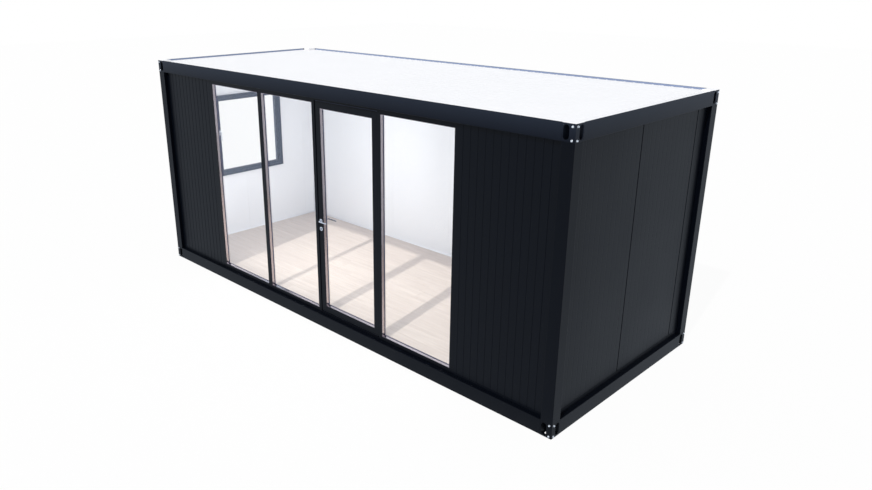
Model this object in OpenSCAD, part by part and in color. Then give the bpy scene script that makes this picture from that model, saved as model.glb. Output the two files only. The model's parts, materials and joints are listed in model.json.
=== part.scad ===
// Office container: a folded-steel box frame with corner fittings, sandwich-panel walls,
// a glazed front with one hinged door, and a window in the left end wall.
// Millimetres. X runs along the glazed front, the front faces -Y, and Z = 0 is the ground.

/* [Overall] */
// Length over the frame
length = 6000; // [5600:10:9000]
// Width over the frame
width = 2400; // [2300:10:3000]
// Height over the frame
height = 2600; // [2500:10:3000]

/* [Steel frame] */
// Height of the top and bottom beams
beam_h = 140; // [132:1:170]
// Depth of the beams, and width of the posts and corner fittings on both faces
profile_w = 115; // [110:1:135]
// Steel thickness of the beams and posts
steel_t = 4; // [3:0.5:6]
// Height of the top beams' rim above the flange that carries the roof
rim_h = 25; // [18:1:40]
// Plate thickness of the corner fittings
fitting_t = 8; // [6:0.5:10]
// Width of the handling slots in the corner fittings
slot_w = 50; // [36:1:52]
// Height of the handling slots in the corner fittings
slot_h = 112; // [90:1:114]
// Distance of a handling slot's centre from the vertical edge
slot_from_edge = 79; // [70:1:80]
// Length of the slot in a bottom fitting's plate, along the container
plate_slot_l = 80; // [60:1:90]
// Width of the slot in a bottom fitting's plate
plate_slot_w = 50; // [40:1:60]

/* [Floor and roof] */
// Largest spacing of the floor joists
joist_pitch = 580; // [400:10:700]
// Width of a floor joist
joist_w = 50; // [40:1:80]
// Height of a floor joist
joist_h = 100; // [60:1:110]
// Wall of a floor joist's channel section
joist_t = 3; // [2:0.5:5]
// Thickness of the floor board on the joists
board_t = 18; // [12:1:22]
// Thickness of the floor's wooden finish
finish_t = 10; // [8:1:14]
// Thickness of the ceiling panel
ceiling_t = 10; // [6:1:20]
// Thickness of the roof sheet between its ribs
roof_t = 6; // [3:0.5:8]
// Height of the roof sheet's ribs
roof_rib_h = 6; // [3:0.5:9]
// Width of a roof rib at its foot
roof_rib_w = 24; // [16:1:36]
// Spacing of the roof ribs
roof_rib_pitch = 100; // [80:5:250]

/* [Wall panels] */
// Depth of the walls behind the outer faces of the frame
wall_recess = 40; // [25:1:50]
// Thickness of a wall panel
panel_t = 60; // [50:1:75]
// Width of a full wall panel
panel_w = 1000; // [900:10:1150]
// Open joint between the outer skins of two panels
panel_joint = 12; // [6:1:20]
// Overlap of two panels behind the open joint
panel_lap = 20; // [12:1:30]
// Spacing of the fine grooves in the outer skin
groove_pitch = 78; // [60:1:120]
// Width of a fine groove
groove_w = 8; // [5:0.5:12]
// Depth of a fine groove
groove_d = 2; // [1:0.5:3]
// Distance of the end walls' first panel from the frame's front face
end_panel_start = 80; // [60:1:95]

/* [Glazed front] */
// Width of the glazed front
glazing_w = 3800; // [3400:10:4200]
// Width of the first fixed light, from the left
light_1_w = 894; // [700:2:1000]
// Width of the second fixed light
light_2_w = 856; // [700:2:1000]
// Width of the doorway between its frame members
doorway_w = 902; // [800:2:1000]
// Bare width of the frame's jambs, head and sill
frame_base = 26; // [20:1:40]
// Bare width of a mullion
mullion_core = 18; // [14:1:40]
// Width of the lips and beads that hold the fixed glass
bead_w = 26; // [18:1:30]
// Depth of the frame, front to back
frame_d = 56; // [52:1:66]
// Depth of the glass behind the faces of the frame and the door leaf
glass_recess = 30; // [18:1:32]
// Thickness of a double-glazed unit
glass_t = 18; // [14:1:20]
// How far the glass reaches behind its lips and beads
glass_bite = 14; // [8:1:16]

/* [Door] */
// Setback of the door leaf behind the frame's face
leaf_setback = 5; // [0:1:14]
// Depth of the door leaf
leaf_d = 56; // [52:1:66]
// Width of the door leaf's stiles and rails
leaf_member = 70; // [60:1:90]
// Gap round the door leaf on the hinge side, at the head and at the sill
leaf_gap = 6; // [5:0.5:8]
// Gap on the lock side, where the leaf's corner swings past
lock_gap = 8.5; // [7:0.5:10]
// Width of the rebate that holds the door's glass
leaf_rebate = 20; // [14:1:26]
// Height of the lever's spindle above the ground
lever_z = 1195; // [1000:5:1250]
// Length of the lever's arm
lever_l = 120; // [90:1:140]
// Diameter of the lever's arm and neck
lever_dia = 12; // [12:1:20]
// Reach of the outer lever's arm from the face of the leaf, to its centre line
lever_reach = 38; // [30:1:40]
// Reach of the inner lever's arm from the face of the leaf, to its centre line
inner_reach = 50; // [40:1:60]
// Diameter of the lever's spindle
spindle_dia = 10; // [8:1:12]
// Distance of the lock below the lever
lock_below_lever = 87; // [70:1:95]
// Diameter of the round roses
rose_dia = 42; // [38:1:54]
// Thickness of the roses
rose_t = 8; // [5:1:10]
// Diameter of the lock's cylinder
cylinder_dia = 17; // [14:1:20]
// Diameter of the hinge barrels
hinge_dia = 18; // [14:1:20]
// Length of one hinge, all knuckles together
hinge_l = 120; // [90:1:160]
// Diameter of the hinge pins
hinge_pin_dia = 9; // [6:1:10]
// Distance of the upper and lower hinges from the leaf's ends
hinge_inset = 220; // [150:5:320]
// Distance of the hinge barrels from the leaf's inner face
hinge_standoff = 5; // [5:0.5:8]

/* [End window] */
// Width of the window
window_w = 1060; // [800:5:1300]
// Height of the window
window_h = 1085; // [800:5:1300]
// Distance of the window's upper edge below the top of the wall
window_drop = 370; // [250:10:500]
// How far the window stands into the room, past the wall
window_proud = 30; // [10:1:40]
// Face width of the window's outer frame
window_frame_w = 32; // [26:1:60]
// Face width of the window's sash
sash_w = 33; // [30:1:60]
// Depth of the sash, front to back
sash_d = 50; // [36:1:56]
// Gap between the sash and its frame
sash_gap = 3; // [2:0.5:6]
// Height of the window handle's pivot above the middle of the window
handle_rise = 55; // [0:5:120]
// Width of the window handle's foot plate
handle_foot_w = 30; // [24:1:40]
// Height of the window handle's foot plate
handle_foot_h = 70; // [50:1:90]
// Thickness of the window handle's foot plate
handle_foot_t = 12; // [8:1:16]
// Length of the window handle's grip
handle_l = 100; // [80:1:150]
// Width of the window handle's grip
handle_w = 20; // [16:1:26]
// Thickness of the window handle's grip
handle_t = 14; // [10:1:18]
// Reach of the window handle from the sash to the grip's outer face
handle_reach = 38; // [32:1:50]

/* [Hidden] */
$fn = 48;

// Colours as the photograph shows them
steel_black = [0.11, 0.12, 0.13];
panel_black = [0.14, 0.15, 0.17];
frame_black = [0.09, 0.10, 0.11];
roof_white = [0.96, 0.97, 0.98];
lining_white = [0.92, 0.93, 0.95];
oak = [0.85, 0.76, 0.66];
board_grey = [0.62, 0.62, 0.60];
zinc = [0.68, 0.70, 0.72];
chrome_grey = [0.75, 0.76, 0.78];
glass_tint = [0.80, 0.88, 0.92, 0.35];

// Running clearances
cut = 1;             // overshoot of a cut past the face it leaves
lining_gap = 2;      // floor and ceiling to the walls
seam = 1;            // inner skins of two panels, the step of their lap, and the roof's joints
pin_gap = 0.05;      // hinge pin in its knuckle
knuckle_gap = 1.5;   // between knuckles, along the pin
spindle_gap = 2;     // spindle in the lock stile
neck_gap = 2;        // lever neck in its rose
lever_gap = 0.5;     // lever neck to the face of the leaf
cylinder_gap = 0.5;  // lock cylinder in the stile
cylinder_proud = 2;  // lock cylinder past its roses

// Levels
wall_z0 = beam_h;
wall_z1 = height - beam_h;
wall_in = wall_recess + panel_t;
joist_z = beam_h - board_t - joist_h;
gutter_z = beam_h - rim_h;

// Front layout along X, from the middle of the container
glazing_x0 = -glazing_w / 2;
glazing_x1 = glazing_w / 2;
light_1_x0 = glazing_x0 + frame_base + bead_w;
mullion_1_x0 = light_1_x0 + light_1_w;
mullion_1_w = mullion_core + 2 * bead_w;
light_2_x0 = mullion_1_x0 + mullion_1_w;
mullion_2_x0 = light_2_x0 + light_2_w;
mullion_2_w = bead_w + mullion_core;
doorway_x0 = mullion_2_x0 + mullion_2_w;
doorway_x1 = doorway_x0 + doorway_w;
light_3_x0 = doorway_x1 + mullion_2_w;
light_3_x1 = glazing_x1 - frame_base - bead_w;
lights = [
    [light_1_x0, mullion_1_x0],
    [light_2_x0, mullion_2_x0],
    [light_3_x0, light_3_x1]
];

// Heights of the glazed front
light_z0 = wall_z0 + frame_base + bead_w;
light_z1 = wall_z1 - frame_base - bead_w;
doorway_z0 = wall_z0 + frame_base;
doorway_z1 = wall_z1 - frame_base;

// Depths of the glazed front, from the outer face of the steel frame
face_y = wall_recess;
frame_y1 = face_y + frame_d;
glass_y0 = face_y + glass_recess;
glass_y1 = glass_y0 + glass_t;
leaf_y0 = face_y + leaf_setback;
leaf_y1 = leaf_y0 + leaf_d;
leaf_glass_y0 = leaf_y0 + glass_recess;
leaf_glass_y1 = leaf_glass_y0 + glass_t;

// Door leaf
leaf_x0 = doorway_x0 + lock_gap;
leaf_x1 = doorway_x1 - leaf_gap;
leaf_z0 = doorway_z0 + leaf_gap;
leaf_z1 = doorway_z1 - leaf_gap;
lever_x = leaf_x0 + leaf_member / 2;
lock_z = lever_z - lock_below_lever;
hinge_x = doorway_x1 - leaf_gap / 2;
hinge_y = leaf_y1 + hinge_dia / 2 + hinge_standoff;
hinge_zs = [leaf_z0 + hinge_inset, (leaf_z0 + leaf_z1) / 2, leaf_z1 - hinge_inset];
knuckle_l = (hinge_l - 2 * knuckle_gap) / 3;

// Roof sheet level inside the top beams' rim
roof_z = height - rim_h;

// Places on the left end wall
window_y0 = -window_w / 2;
window_z = wall_z1 - window_drop - window_h;

// 2-D slot with round ends, its length along Y
module slot_2d(w, l) {
    square([w, l - w], center = true);
    for (s = [-1, 1])
        translate([0, s * (l - w) / 2])
            circle(d = w);
}

// Repeats a piece made for the front left corner at all four corners
module at_corners() {
    for (sx = [0, 1], sy = [0, 1])
        translate([(sx - 0.5) * length, (sy - 0.5) * width, 0])
            mirror([sx, 0, 0])
                mirror([0, sy, 0])
                    children();
}

// Bar of the front wall: X and Z limits, and depths from the frame's outer face
module front_bar(x0, x1, z0, z1, d0, d1) {
    translate([x0, -width / 2 + d0, z0])
        cube([x1 - x0, d1 - d0, z1 - z0]);
}

// Upright extrusion of a plan section
module upright(z0, z1) {
    translate([0, 0, z0])
        linear_extrude(z1 - z0)
            children();
}

// Extrusion along X of a section drawn with depth along X and height along Y
module along_x(x0, x1) {
    translate([x0, 0, 0])
        rotate([90, 0, 90])
            linear_extrude(x1 - x0)
                children();
}

// Extrusion along Y of a section drawn with depth along X and height along Y
module along_y(y0, y1) {
    translate([0, y1, 0])
        rotate([90, 0, 0])
            linear_extrude(y1 - y0)
                children();
}

// Section of a bottom beam: a channel open to the inside
module bottom_beam_section() {
    difference() {
        square([profile_w, beam_h]);
        translate([steel_t, steel_t])
            square([profile_w, beam_h - 2 * steel_t]);
    }
}

// Section of a top beam: a channel whose web stands up past its upper flange as a rim
module top_beam_section() {
    difference() {
        square([profile_w, beam_h]);
        translate([steel_t, steel_t])
            square([profile_w, gutter_z - 2 * steel_t]);
        translate([steel_t, gutter_z])
            square([profile_w, rim_h + cut]);
    }
}

// Long beam along the front, at a level
module front_beam(z) {
    translate([0, -width / 2, z])
        along_x(-length / 2 + profile_w, length / 2 - profile_w)
            children();
}

// Short beam along the left end, at a level
module left_beam(z) {
    translate([-length / 2, 0, z])
        along_y(-width / 2 + profile_w, width / 2 - profile_w)
            children();
}

module bottom_front_beam() {
    color(steel_black)
        front_beam(0) bottom_beam_section();
}

module bottom_back_beam() {
    color(steel_black)
        mirror([0, 1, 0]) front_beam(0) bottom_beam_section();
}

module bottom_left_beam() {
    color(steel_black)
        left_beam(0) bottom_beam_section();
}

module bottom_right_beam() {
    color(steel_black)
        mirror([1, 0, 0]) left_beam(0) bottom_beam_section();
}

module top_front_beam() {
    color(steel_black)
        front_beam(wall_z1) top_beam_section();
}

module top_back_beam() {
    color(steel_black)
        mirror([0, 1, 0]) front_beam(wall_z1) top_beam_section();
}

module top_left_beam() {
    color(steel_black)
        left_beam(wall_z1) top_beam_section();
}

module top_right_beam() {
    color(steel_black)
        mirror([1, 0, 0]) left_beam(wall_z1) top_beam_section();
}

// Plan of a corner post: a folded angle with returns that the wall panels stand against
module post_section() {
    difference() {
        square(profile_w);
        translate([steel_t, steel_t])
            square(profile_w - 2 * steel_t);
        translate([wall_recess, wall_recess])
            square(profile_w);
    }
}

module corner_posts() {
    color(steel_black)
        at_corners()
            upright(wall_z0, wall_z1)
                post_section();
}

// Hollow corner fitting with a handling slot in both outer faces, and one in its plate where that is open
module corner_fitting(plate_open) {
    inside = profile_w - 2 * fitting_t;
    plate_slot = profile_w / 2;
    difference() {
        cube([profile_w, profile_w, beam_h]);
        translate([fitting_t, fitting_t, fitting_t])
            cube([inside, inside, beam_h - 2 * fitting_t]);
        translate([-cut, slot_from_edge, beam_h / 2])
            rotate([90, 0, 90])
                linear_extrude(fitting_t + 2 * cut)
                    slot_2d(slot_w, slot_h);
        translate([slot_from_edge, fitting_t + cut, beam_h / 2])
            rotate([90, 0, 0])
                linear_extrude(fitting_t + 2 * cut)
                    slot_2d(slot_w, slot_h);
        if (plate_open)
            translate([plate_slot, plate_slot, -cut])
                linear_extrude(fitting_t + 2 * cut)
                    rotate(90)
                        slot_2d(plate_slot_w, plate_slot_l);
    }
}

module bottom_corner_fittings() {
    color(steel_black)
        at_corners() corner_fitting(plate_open = true);
}

module top_corner_fittings() {
    color(steel_black)
        translate([0, 0, height])
            mirror([0, 0, 1])
                at_corners() corner_fitting(plate_open = false);
}

// Channel joists across the floor, between the webs of the long beams
module floor_joists() {
    span = length - 2 * (profile_w + lining_gap) - joist_w;
    count = ceil(span / joist_pitch);
    color(zinc)
        for (i = [0 : count])
            translate([(i / count - 0.5) * span - joist_w / 2, 0, joist_z])
                along_y(-width / 2 + steel_t, width / 2 - steel_t)
                    difference() {
                        square([joist_w, joist_h]);
                        translate([joist_t, joist_t])
                            square([joist_w, joist_h - 2 * joist_t]);
                    }
}

module floor_board() {
    inset = profile_w + lining_gap;
    color(board_grey)
        translate([-length / 2 + inset, -width / 2 + inset, beam_h - board_t])
            cube([length - 2 * inset, width - 2 * inset, board_t]);
}

module floor_finish() {
    inset = wall_in + lining_gap;
    color(oak)
        translate([-length / 2 + inset, -width / 2 + inset, beam_h])
            cube([length - 2 * inset, width - 2 * inset, finish_t]);
}

module ceiling_panel() {
    inset = wall_in + lining_gap;
    color(lining_white)
        translate([-length / 2 + inset, -width / 2 + inset, wall_z1 - ceiling_t])
            cube([length - 2 * inset, width - 2 * inset, ceiling_t]);
}

// Ribbed sheet on the upper flanges of the long beams, its ribs running from front to back
module roof_sheet() {
    half_l = length / 2 - profile_w - lining_gap;
    half_w = width / 2 - steel_t - lining_gap;
    count = floor((2 * half_l - roof_rib_w) / roof_rib_pitch);
    rib_top = roof_rib_w - 2 * roof_rib_h;
    color(roof_white)
        translate([0, 0, roof_z])
            along_y(-half_w, half_w) {
                translate([-half_l, 0])
                    square([2 * half_l, roof_t]);
                for (i = [0 : count])
                    translate([(i - count / 2) * roof_rib_pitch, roof_t])
                        polygon([
                            [-roof_rib_w / 2, -cut], [-roof_rib_w / 2, 0], [-rib_top / 2, roof_rib_h],
                            [rib_top / 2, roof_rib_h], [roof_rib_w / 2, 0], [roof_rib_w / 2, -cut]
                        ]);
            }
}

// Flat strips that close the roof at both ends, between the corner fittings
module roof_end_strips() {
    half_w = width / 2 - profile_w - lining_gap;
    color(roof_white)
        for (s = [0, 1])
            mirror([s, 0, 0])
                translate([-length / 2 + steel_t + lining_gap, -half_w, roof_z])
                    cube([profile_w - steel_t - seam, 2 * half_w, roof_t]);
}

// Plan of a wall panel: outer skin at depth 0 with fine grooves, and stepped edges at its joints
module panel_section(w, joint_left, joint_right) {
    step = panel_t / 2;
    reach = panel_joint + panel_lap - seam;
    count = floor((w - groove_pitch) / groove_pitch);
    first = (w - count * groove_pitch) / 2;
    difference() {
        union() {
            square([w, panel_t]);
            if (joint_right)
                translate([w - cut, step + seam / 2])
                    square([reach + cut, panel_t - step - seam / 2]);
        }
        if (joint_left)
            translate([-cut, step - seam / 2])
                square([panel_lap + cut, panel_t]);
        for (i = [0 : count])
            translate([first + i * groove_pitch, 0])
                polygon([
                    [-groove_w / 2 - cut, -cut], [-groove_w / 2 + groove_d, groove_d],
                    [groove_w / 2 - groove_d, groove_d], [groove_w / 2 + cut, -cut]
                ]);
    }
}

// Row of panels along +X from 0: full panels, then the strip that is left
module panel_row(total) {
    pitch = panel_w + panel_joint;
    full = floor((total + panel_joint) / pitch);
    rest = total - full * pitch;
    for (i = [0 : full - 1])
        translate([i * pitch, 0])
            panel_section(panel_w, i > 0, i < full - 1 || rest > 0);
    if (rest > 0)
        translate([full * pitch, 0])
            panel_section(rest, true, false);
}

front_panel_w = length / 2 - wall_in - glazing_w / 2;

module front_right_panel() {
    color(panel_black)
        translate([glazing_x1, -width / 2 + wall_recess, 0])
            upright(wall_z0, wall_z1)
                panel_section(front_panel_w, false, false);
}

module front_left_panel() {
    color(panel_black)
        mirror([1, 0, 0])
            translate([glazing_x1, -width / 2 + wall_recess, 0])
                upright(wall_z0, wall_z1)
                    panel_section(front_panel_w, false, false);
}

module back_wall_panels() {
    color(panel_black)
        mirror([0, 1, 0])
            mirror([1, 0, 0])
                translate([-length / 2 + wall_in, -width / 2 + wall_recess, 0])
                    upright(wall_z0, wall_z1)
                        panel_row(length - 2 * wall_in);
}

// Panels of the right end wall, counted from the front
module right_end_panels() {
    color(panel_black)
        translate([length / 2 - wall_recess, -width / 2 + end_panel_start, 0])
            rotate(90)
                upright(wall_z0, wall_z1)
                    panel_row(width - 2 * end_panel_start);
}

// The same panels on the left, with the window cut through them
module left_end_panels() {
    color(panel_black)
        difference() {
            mirror([1, 0, 0])
                translate([length / 2 - wall_recess, -width / 2 + end_panel_start, 0])
                    rotate(90)
                        upright(wall_z0, wall_z1)
                            panel_row(width - 2 * end_panel_start);
            translate([-length / 2, window_y0, window_z])
                cube([wall_in + cut, window_w, window_h]);
        }
}

// Frame member with its outer glazing lip: core limits, then lip limits, along X
module upright_member(core_x0, core_x1, lip_x0, lip_x1) {
    front_bar(core_x0, core_x1, doorway_z0, doorway_z1, face_y, frame_y1);
    front_bar(lip_x0, lip_x1, doorway_z0, doorway_z1, face_y, glass_y0);
}

module glazing_left_jamb() {
    color(frame_black)
        upright_member(glazing_x0, glazing_x0 + frame_base, glazing_x0, light_1_x0);
}

module glazing_right_jamb() {
    color(frame_black)
        upright_member(glazing_x1 - frame_base, glazing_x1, light_3_x1, glazing_x1);
}

module glazing_mullions() {
    color(frame_black) {
        upright_member(mullion_1_x0 + bead_w, light_2_x0 - bead_w, mullion_1_x0, light_2_x0);
        upright_member(mullion_2_x0 + bead_w, doorway_x0, mullion_2_x0, doorway_x0);
        upright_member(doorway_x1, light_3_x0 - bead_w, doorway_x1, light_3_x0);
    }
}

module glazing_head() {
    color(frame_black) {
        front_bar(glazing_x0, glazing_x1, doorway_z1, wall_z1, face_y, frame_y1);
        for (light = lights)
            front_bar(light[0], light[1], light_z1, wall_z1, face_y, glass_y0);
    }
}

module glazing_sill() {
    color(frame_black) {
        front_bar(glazing_x0, glazing_x1, wall_z0, doorway_z0, face_y, frame_y1);
        for (light = lights)
            front_bar(light[0], light[1], wall_z0, light_z0, face_y, glass_y0);
    }
}

// Inner beads that hold the fixed glass against the outer lips
module glazing_beads() {
    color(frame_black)
        for (light = lights)
            difference() {
                front_bar(light[0] - bead_w, light[1] + bead_w, doorway_z0, doorway_z1, glass_y1, frame_y1);
                front_bar(light[0], light[1], light_z0, light_z1, glass_y1 - cut, frame_y1 + cut);
            }
}

module fixed_glass() {
    color(glass_tint)
        for (light = lights)
            front_bar(light[0] - glass_bite, light[1] + glass_bite,
                      light_z0 - glass_bite, light_z1 + glass_bite, glass_y0, glass_y1);
}

// Rebate in the leaf's members, open to the room, that takes the glass and its beads
module leaf_rebate_cut() {
    front_bar(leaf_x0 + leaf_member - leaf_rebate, leaf_x1 - leaf_member + leaf_rebate,
              leaf_z0 + leaf_member - leaf_rebate, leaf_z1 - leaf_member + leaf_rebate,
              leaf_glass_y0, leaf_y1 + cut);
}

// Cylinder through the leaf along Y, between two depths
module through_leaf(x, z, dia, d0, d1) {
    translate([x, -width / 2 + d1, z])
        rotate([90, 0, 0])
            cylinder(d = dia, h = d1 - d0);
}

module door_lock_stile() {
    color(frame_black)
        difference() {
            front_bar(leaf_x0, leaf_x0 + leaf_member, leaf_z0, leaf_z1, leaf_y0, leaf_y1);
            leaf_rebate_cut();
            through_leaf(lever_x, lever_z, spindle_dia + 2 * spindle_gap, leaf_y0 - cut, leaf_y1 + cut);
            through_leaf(lever_x, lock_z, cylinder_dia + 2 * cylinder_gap, leaf_y0 - cut, leaf_y1 + cut);
        }
}

module door_hinge_stile() {
    color(frame_black)
        difference() {
            front_bar(leaf_x1 - leaf_member, leaf_x1, leaf_z0, leaf_z1, leaf_y0, leaf_y1);
            leaf_rebate_cut();
        }
}

// Rails fit between the stiles
module leaf_rail(z0) {
    color(frame_black)
        difference() {
            front_bar(leaf_x0 + leaf_member, leaf_x1 - leaf_member, z0, z0 + leaf_member, leaf_y0, leaf_y1);
            leaf_rebate_cut();
        }
}

module door_top_rail() {
    leaf_rail(leaf_z1 - leaf_member);
}

module door_bottom_rail() {
    leaf_rail(leaf_z0);
}

module door_beads() {
    grow = leaf_rebate;
    color(frame_black)
        difference() {
            front_bar(leaf_x0 + leaf_member - grow, leaf_x1 - leaf_member + grow,
                      leaf_z0 + leaf_member - grow, leaf_z1 - leaf_member + grow, leaf_glass_y1, leaf_y1);
            front_bar(leaf_x0 + leaf_member, leaf_x1 - leaf_member,
                      leaf_z0 + leaf_member, leaf_z1 - leaf_member, leaf_glass_y1 - cut, leaf_y1 + cut);
        }
}

module door_glass() {
    grow = min(glass_bite, leaf_rebate);
    color(glass_tint)
        front_bar(leaf_x0 + leaf_member - grow, leaf_x1 - leaf_member + grow,
                  leaf_z0 + leaf_member - grow, leaf_z1 - leaf_member + grow, leaf_glass_y0, leaf_glass_y1);
}

// Roses on both faces of the lock stile, for the lever above and the lock below
module door_roses() {
    color(chrome_grey)
        for (face = [[leaf_y0 - rose_t, leaf_y0], [leaf_y1, leaf_y1 + rose_t]])
            for (hole = [[lever_z, lever_dia + 2 * neck_gap], [lock_z, cylinder_dia + 2 * cylinder_gap]])
                difference() {
                    through_leaf(lever_x, hole[0], rose_dia, face[0], face[1]);
                    through_leaf(lever_x, hole[0], hole[1], face[0] - cut, face[1] + cut);
                }
}

module lock_cylinder() {
    color(chrome_grey)
        through_leaf(lever_x, lock_z, cylinder_dia,
                     leaf_y0 - rose_t - cylinder_proud, leaf_y1 + rose_t + cylinder_proud);
}

// Lever on one side: a neck from the leaf's face, and an arm that points to the hinges
module lever(y_foot, y_arm) {
    through_leaf(lever_x, lever_z, lever_dia, min(y_foot, y_arm), max(y_foot, y_arm));
    translate([lever_x, -width / 2 + y_arm, lever_z]) {
        sphere(d = lever_dia);
        rotate([0, 90, 0])
            cylinder(d = lever_dia, h = lever_l - lever_dia / 2);
        translate([lever_l - lever_dia / 2, 0, 0])
            sphere(d = lever_dia);
    }
}

// The outer lever carries the spindle that passes through the stile
module outer_lever() {
    color(chrome_grey) {
        lever(leaf_y0 - lever_gap, leaf_y0 - lever_reach);
        through_leaf(lever_x, lever_z, spindle_dia, leaf_y0 - lever_reach, leaf_y1 + lever_gap);
    }
}

module inner_lever() {
    color(chrome_grey)
        lever(leaf_y1 + lever_gap, leaf_y1 + inner_reach);
}

// One knuckle of a hinge with the flap that carries it
module knuckle(z0, bore, flap_x0, flap_x1, flap_y0) {
    difference() {
        union() {
            translate([hinge_x, -width / 2 + hinge_y, z0])
                cylinder(d = hinge_dia, h = knuckle_l);
            front_bar(flap_x0, flap_x1, z0, z0 + knuckle_l, flap_y0, hinge_y);
        }
        translate([hinge_x, -width / 2 + hinge_y, z0 - cut])
            cylinder(d = bore, h = knuckle_l + 2 * cut);
    }
}

// Frame side: the outer knuckles on the mullion, with the pin
module hinge_frame_halves() {
    color(steel_black)
        for (z = hinge_zs) {
            for (k = [0, 2])
                knuckle(z - hinge_l / 2 + k * (knuckle_l + knuckle_gap), hinge_pin_dia - cut,
                        doorway_x1, doorway_x1 + mullion_core, frame_y1);
            translate([hinge_x, -width / 2 + hinge_y, z - hinge_l / 2])
                cylinder(d = hinge_pin_dia, h = hinge_l);
        }
}

// Leaf side: the middle knuckle on the hinge stile
module hinge_leaf_halves() {
    color(steel_black)
        for (z = hinge_zs)
            knuckle(z - knuckle_l / 2, hinge_pin_dia + 2 * pin_gap,
                    leaf_x1 - mullion_core, leaf_x1, leaf_y1);
}

// Bar ring in the plane of the left end wall: outer limits, face width, and depths from outside
module window_ring(y0, z0, w, h, face, d0, d1) {
    translate([-length / 2 + d0, y0, z0])
        difference() {
            cube([d1 - d0, w, h]);
            translate([-cut, face, face])
                cube([d1 - d0 + 2 * cut, w - 2 * face, h - 2 * face]);
        }
}

sash_inset = window_frame_w + sash_gap;
window_glass_inset = sash_inset + sash_w;
window_in = wall_in + window_proud;
sash_x0 = window_in - sash_d;

// Outer frame through the wall, with a lip outside that covers the sash
module window_frame() {
    color(frame_black) {
        window_ring(window_y0, window_z, window_w, window_h, window_frame_w, wall_recess, window_in);
        window_ring(window_y0, window_z, window_w, window_h, window_glass_inset, wall_recess, sash_x0 - sash_gap);
    }
}

module window_sash() {
    color(frame_black)
        difference() {
            window_ring(window_y0 + sash_inset, window_z + sash_inset,
                        window_w - 2 * sash_inset, window_h - 2 * sash_inset, sash_w, sash_x0, window_in);
            window_glass_body();
        }
}

// Pane let into a groove of the sash
module window_glass_body() {
    inset = window_glass_inset - glass_bite;
    translate([-length / 2 + sash_x0 + (sash_d - glass_t) / 2, window_y0 + inset, window_z + inset])
        cube([glass_t, window_w - 2 * inset, window_h - 2 * inset]);
}

module window_glass() {
    color(glass_tint)
        window_glass_body();
}

// Turning handle on the front stile of the sash, seen from the room
module window_handle() {
    y = window_y0 + sash_inset + sash_w / 2;
    z = window_z + window_h / 2 + handle_rise;
    color(frame_black)
        translate([-length / 2 + window_in, y, z]) {
            translate([0, -handle_foot_w / 2, -handle_foot_h / 2])
                cube([handle_foot_t, handle_foot_w, handle_foot_h]);
            rotate([0, 90, 0])
                cylinder(d = handle_w, h = handle_reach);
            translate([handle_reach - handle_t, -handle_w / 2, -handle_l])
                cube([handle_t, handle_w, handle_l]);
        }
}

bottom_front_beam();
bottom_back_beam();
bottom_left_beam();
bottom_right_beam();
top_front_beam();
top_back_beam();
top_left_beam();
top_right_beam();
corner_posts();
bottom_corner_fittings();
top_corner_fittings();
floor_joists();
floor_board();
floor_finish();
ceiling_panel();
roof_sheet();
roof_end_strips();
front_left_panel();
front_right_panel();
back_wall_panels();
right_end_panels();
left_end_panels();
glazing_left_jamb();
glazing_right_jamb();
glazing_head();
glazing_sill();
glazing_mullions();
glazing_beads();
fixed_glass();
door_lock_stile();
door_hinge_stile();
door_top_rail();
door_bottom_rail();
door_beads();
door_glass();
door_roses();
lock_cylinder();
outer_lever();
inner_lever();
hinge_frame_halves();
hinge_leaf_halves();
window_frame();
window_sash();
window_glass();
window_handle();
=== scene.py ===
"""Office container: finishes, seals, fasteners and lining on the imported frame.

Metres. X runs along the glazed front, the front faces -Y and the ground is Z = 0.
"""

import json
import math
import random

import bmesh
import bpy
from mathutils import Matrix, Vector

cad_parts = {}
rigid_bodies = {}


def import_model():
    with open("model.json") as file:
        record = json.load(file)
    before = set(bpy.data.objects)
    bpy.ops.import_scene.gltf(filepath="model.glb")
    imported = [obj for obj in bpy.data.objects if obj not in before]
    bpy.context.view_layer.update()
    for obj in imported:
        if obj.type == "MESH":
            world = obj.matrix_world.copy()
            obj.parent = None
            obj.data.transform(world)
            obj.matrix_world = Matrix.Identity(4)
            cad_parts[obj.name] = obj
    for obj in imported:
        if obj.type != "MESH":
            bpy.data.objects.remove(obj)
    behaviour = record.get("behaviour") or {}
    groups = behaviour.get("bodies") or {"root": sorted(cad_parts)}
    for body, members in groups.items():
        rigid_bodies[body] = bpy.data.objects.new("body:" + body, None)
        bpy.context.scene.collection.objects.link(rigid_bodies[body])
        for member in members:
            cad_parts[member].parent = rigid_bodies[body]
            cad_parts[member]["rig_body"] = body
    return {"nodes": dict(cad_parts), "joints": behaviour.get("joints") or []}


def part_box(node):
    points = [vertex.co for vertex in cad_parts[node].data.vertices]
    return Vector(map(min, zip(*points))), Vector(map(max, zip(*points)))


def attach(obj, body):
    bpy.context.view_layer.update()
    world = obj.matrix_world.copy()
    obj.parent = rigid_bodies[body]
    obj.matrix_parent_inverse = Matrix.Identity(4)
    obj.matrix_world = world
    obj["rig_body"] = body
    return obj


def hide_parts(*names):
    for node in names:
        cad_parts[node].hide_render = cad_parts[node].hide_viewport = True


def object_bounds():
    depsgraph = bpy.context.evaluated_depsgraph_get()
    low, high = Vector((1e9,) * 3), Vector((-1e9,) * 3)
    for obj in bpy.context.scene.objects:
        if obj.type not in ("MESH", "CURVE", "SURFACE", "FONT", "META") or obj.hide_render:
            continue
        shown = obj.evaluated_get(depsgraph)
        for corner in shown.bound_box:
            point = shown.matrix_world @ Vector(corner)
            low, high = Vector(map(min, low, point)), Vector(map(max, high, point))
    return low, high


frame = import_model()
cad_low, cad_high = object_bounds()
scene = bpy.context.scene

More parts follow.
